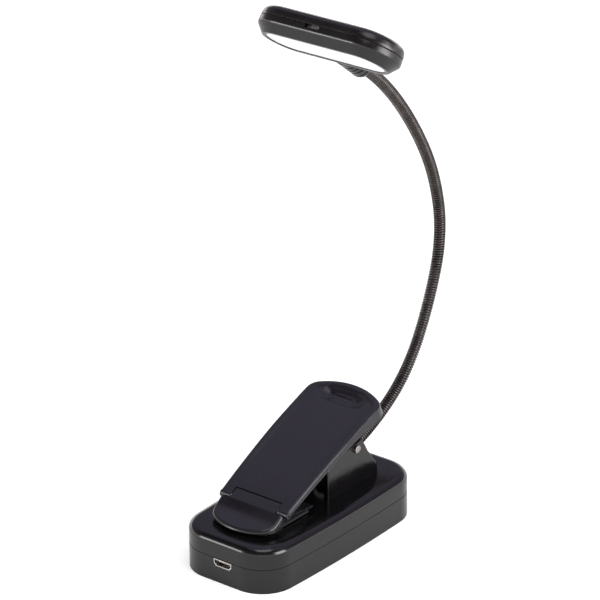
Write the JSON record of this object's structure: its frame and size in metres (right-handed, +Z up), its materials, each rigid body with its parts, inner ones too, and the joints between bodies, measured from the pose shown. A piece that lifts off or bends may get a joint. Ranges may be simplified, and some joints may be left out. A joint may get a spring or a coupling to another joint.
{
  "type": "clip-on reading lamp",
  "caption": "Rechargeable clip-on reading lamp with a sprung clip base, a bendable wound-steel neck and a flat bar-shaped light head.",
  "frame": {"origin": "middle of the base's underside", "axes": "+Z up, -Y towards the clip's mouth and charging socket, +Y towards the neck, X across the base and along the head"},
  "size_m": [0.055, 0.1235, 0.1851],
  "materials": {
    "base_plastic": "black moulded plastic, satin gloss",
    "lever_plastic": "black moulded plastic, soft sheen",
    "jaw_plastic": "black moulded plastic, soft sheen",
    "pad_rubber": "black rubber",
    "neck_steel": "black-nickel plated wound steel",
    "head_plastic": "black moulded plastic, satin",
    "diffuser_plastic": "frosted white plastic",
    "knob_plastic": "light plastic",
    "pin_steel": "bright steel",
    "screw_steel": "blackened steel",
    "spring_steel": "spring steel",
    "socket_steel": "plated steel",
    "cell_foil": "foil pouch",
    "circuit_board": "green circuit board",
    "component_plastic": "moulded electronic parts",
    "lead_sleeve": "insulated leads",
    "led_board_white": "white circuit board",
    "led_phosphor": "light chips"
  },
  "bodies": {
    "base": {"base_lower_shell": "base_plastic", "base_upper_shell": "base_plastic", "base_screws": "screw_steel", "battery_cell": "cell_foil", "control_board": "circuit_board", "board_components": "component_plastic", "usb_socket_shell": "socket_steel", "usb_socket_tongue": "component_plastic", "base_leads": "lead_sleeve", "clip_pin": "pin_steel", "clip_spring": "spring_steel", "root_ferrule": "pin_steel", "neck_root": "neck_steel"},
    "lever": {"clip_lever": "lever_plastic", "jaw_pin": "pin_steel"},
    "jaw": {"floating_jaw": "jaw_plastic", "jaw_grip_pad": "pad_rubber"},
    "neck_1": {"neck_link_1": "neck_steel"},
    "neck_2": {"neck_link_2": "neck_steel"},
    "neck_3": {"neck_link_3": "neck_steel"},
    "neck_4": {"neck_link_4": "neck_steel"},
    "neck_5": {"neck_link_5": "neck_steel"},
    "neck_6": {"neck_link_6": "neck_steel"},
    "head": {"neck_link_7": "neck_steel", "neck_collar": "head_plastic", "head_ferrule": "pin_steel", "head_bezel": "head_plastic", "head_back_cover": "head_plastic", "diffuser": "diffuser_plastic", "led_board": "led_board_white", "led_chips": "led_phosphor", "head_leads": "lead_sleeve", "switch_body": "component_plastic"},
    "switch": {"switch_knob": "knob_plastic"}
  },
  "joints": [
    {"name": "lever_open", "type": "hinge", "parent": "base", "child": "lever", "pos_m": [0, 0.0178, 0.0299], "axis": [-1, 0, 0], "range_deg": [0, 22], "stiffness_Nm_per_rad": 0.12, "springref_deg": -51.57, "deforming": ["clip_spring"]},
    {"name": "jaw_tilt", "type": "hinge", "parent": "lever", "child": "jaw", "pos_m": [0, -0.02395, 0.02282], "axis": [1, 0, 0], "range_deg": [0, 22]},
    {"name": "neck_bend_1", "type": "hinge", "parent": "base", "child": "neck_1", "pos_m": [0, 0.0271, 0.0228], "axis": [1, 0, 0], "range_deg": [-15, 15]},
    {"name": "neck_bend_2", "type": "hinge", "parent": "neck_1", "child": "neck_2", "pos_m": [0, 0.04992, 0.03277], "axis": [0, -0.5388, 0.8425], "range_deg": [-30, 30]},
    {"name": "neck_bend_3", "type": "hinge", "parent": "neck_2", "child": "neck_3", "pos_m": [0, 0.06692, 0.05075], "axis": [1, 0, 0], "range_deg": [-25, 20]},
    {"name": "neck_bend_4", "type": "hinge", "parent": "neck_3", "child": "neck_4", "pos_m": [0, 0.07683, 0.07365], "axis": [0, -0.9542, 0.299], "range_deg": [-30, 30]},
    {"name": "neck_bend_5", "type": "hinge", "parent": "neck_4", "child": "neck_5", "pos_m": [0, 0.07808, 0.09836], "axis": [1, 0, 0], "range_deg": [-25, 20]},
    {"name": "neck_bend_6", "type": "hinge", "parent": "neck_5", "child": "neck_6", "pos_m": [0, 0.06932, 0.12166], "axis": [0, -0.8695, -0.4939], "range_deg": [-30, 30]},
    {"name": "neck_bend_7", "type": "hinge", "parent": "neck_6", "child": "head", "pos_m": [0, 0.05515, 0.14221], "axis": [1, 0, 0], "range_deg": [-25, 20]},
    {"name": "switch_slide", "type": "slide", "parent": "head", "child": "switch", "axis": [1, 0, 0], "range_m": [-0.0031, 0]}
  ],
  "couplings": [
    {"joint": "jaw_tilt", "follows": "lever_open", "ratio": 1}
  ]
}
